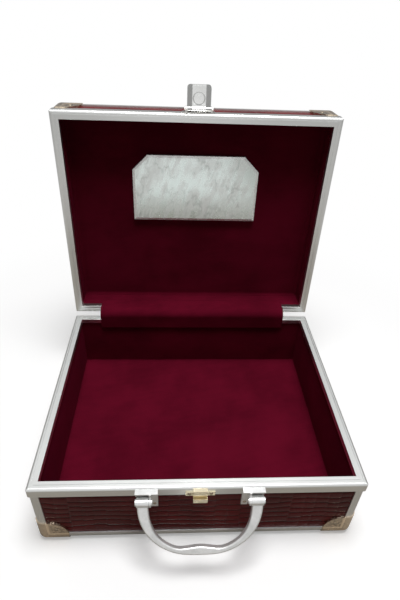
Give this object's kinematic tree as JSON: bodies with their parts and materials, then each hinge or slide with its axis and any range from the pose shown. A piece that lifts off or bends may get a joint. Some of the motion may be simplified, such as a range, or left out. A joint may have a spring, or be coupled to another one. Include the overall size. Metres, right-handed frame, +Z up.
{
  "type": "jewellery case",
  "caption": "Hinged jewellery case of boards in an aluminium frame, covered in croc embossed leatherette, lined in velvet, with a mirror in the lid, a bail handle, a flap latch and corner caps.",
  "frame": {"origin": "middle of the base's footprint, on the plane of the corner caps that the case stands on", "axes": "+Z up, +X to the right hand of someone facing the latch, -Y out of the front; the lid rests open"},
  "size_m": [0.3034, 0.3286, 0.3553],
  "materials": {
    "leatherette": "glossy crocodile embossing",
    "board": "hardboard",
    "velvet": "short pile velvet",
    "frame_aluminium": "satin anodised",
    "cap_nickel": "polished nickel",
    "handle_aluminium": "polished",
    "fitting_nickel": "bright nickel plate",
    "rivet_nickel": "dull nickel",
    "catch_brass": "pale brass plate",
    "mirror_glass": "bevelled mirror",
    "pad": "foam mounting pad"
  },
  "bodies": {
    "base": {"base_front_board": "board", "base_rear_board": "board", "base_left_board": "board", "base_right_board": "board", "base_front_leather": "leatherette", "base_rear_leather": "leatherette", "base_left_leather": "leatherette", "base_right_leather": "leatherette", "base_front_rim": "frame_aluminium", "base_rear_rim": "frame_aluminium", "base_left_rim": "frame_aluminium", "base_right_rim": "frame_aluminium", "base_front_edge": "frame_aluminium", "base_rear_edge": "frame_aluminium", "base_left_edge": "frame_aluminium", "base_right_edge": "frame_aluminium", "base_floor_board": "board", "base_floor_leather": "leatherette", "base_floor_lining": "velvet", "base_wall_lining": "velvet", "base_posts": "frame_aluminium", "base_corner_caps": "cap_nickel", "base_rivets": "rivet_nickel", "handle_brackets": "fitting_nickel", "handle_pins": "fitting_nickel", "catch": "catch_brass", "hinge_base_leaves": "fitting_nickel", "hinge_pins": "fitting_nickel", "hinge_strip": "velvet"},
    "lid": {"lid_front_board": "board", "lid_rear_board": "board", "lid_left_board": "board", "lid_right_board": "board", "lid_front_leather": "leatherette", "lid_rear_leather": "leatherette", "lid_left_leather": "leatherette", "lid_right_leather": "leatherette", "lid_front_rim": "frame_aluminium", "lid_rear_rim": "frame_aluminium", "lid_left_rim": "frame_aluminium", "lid_right_rim": "frame_aluminium", "lid_front_edge": "frame_aluminium", "lid_rear_edge": "frame_aluminium", "lid_left_edge": "frame_aluminium", "lid_right_edge": "frame_aluminium", "lid_top_board": "board", "lid_top_leather": "leatherette", "lid_top_lining": "velvet", "lid_wall_lining": "velvet", "lid_posts": "frame_aluminium", "lid_corner_caps": "cap_nickel", "lid_rivets": "rivet_nickel", "hinge_lid_leaves": "fitting_nickel", "latch_plate": "fitting_nickel", "latch_pin": "fitting_nickel", "mirror": "mirror_glass", "mirror_pad": "pad"},
    "latch": {"latch_flap": "fitting_nickel"},
    "handle": {"handle_bail": "handle_aluminium"}
  },
  "joints": [
    {"name": "lid_hinge", "type": "hinge", "parent": "base", "child": "lid", "pos_m": [0, 0.125, 0.08215], "axis": [-1, 0, 0], "range_deg": [-92, 0], "deforming": ["hinge_strip"]},
    {"name": "latch_hinge", "type": "hinge", "parent": "lid", "child": "latch", "pos_m": [0, 0.13881, 0.33292], "axis": [-1, 0, 0], "range_deg": [-90, 0]},
    {"name": "handle_pivot", "type": "hinge", "parent": "base", "child": "handle", "pos_m": [0, -0.1284, 0.071], "axis": [-1, 0, 0], "range_deg": [0, 132]}
  ]
}
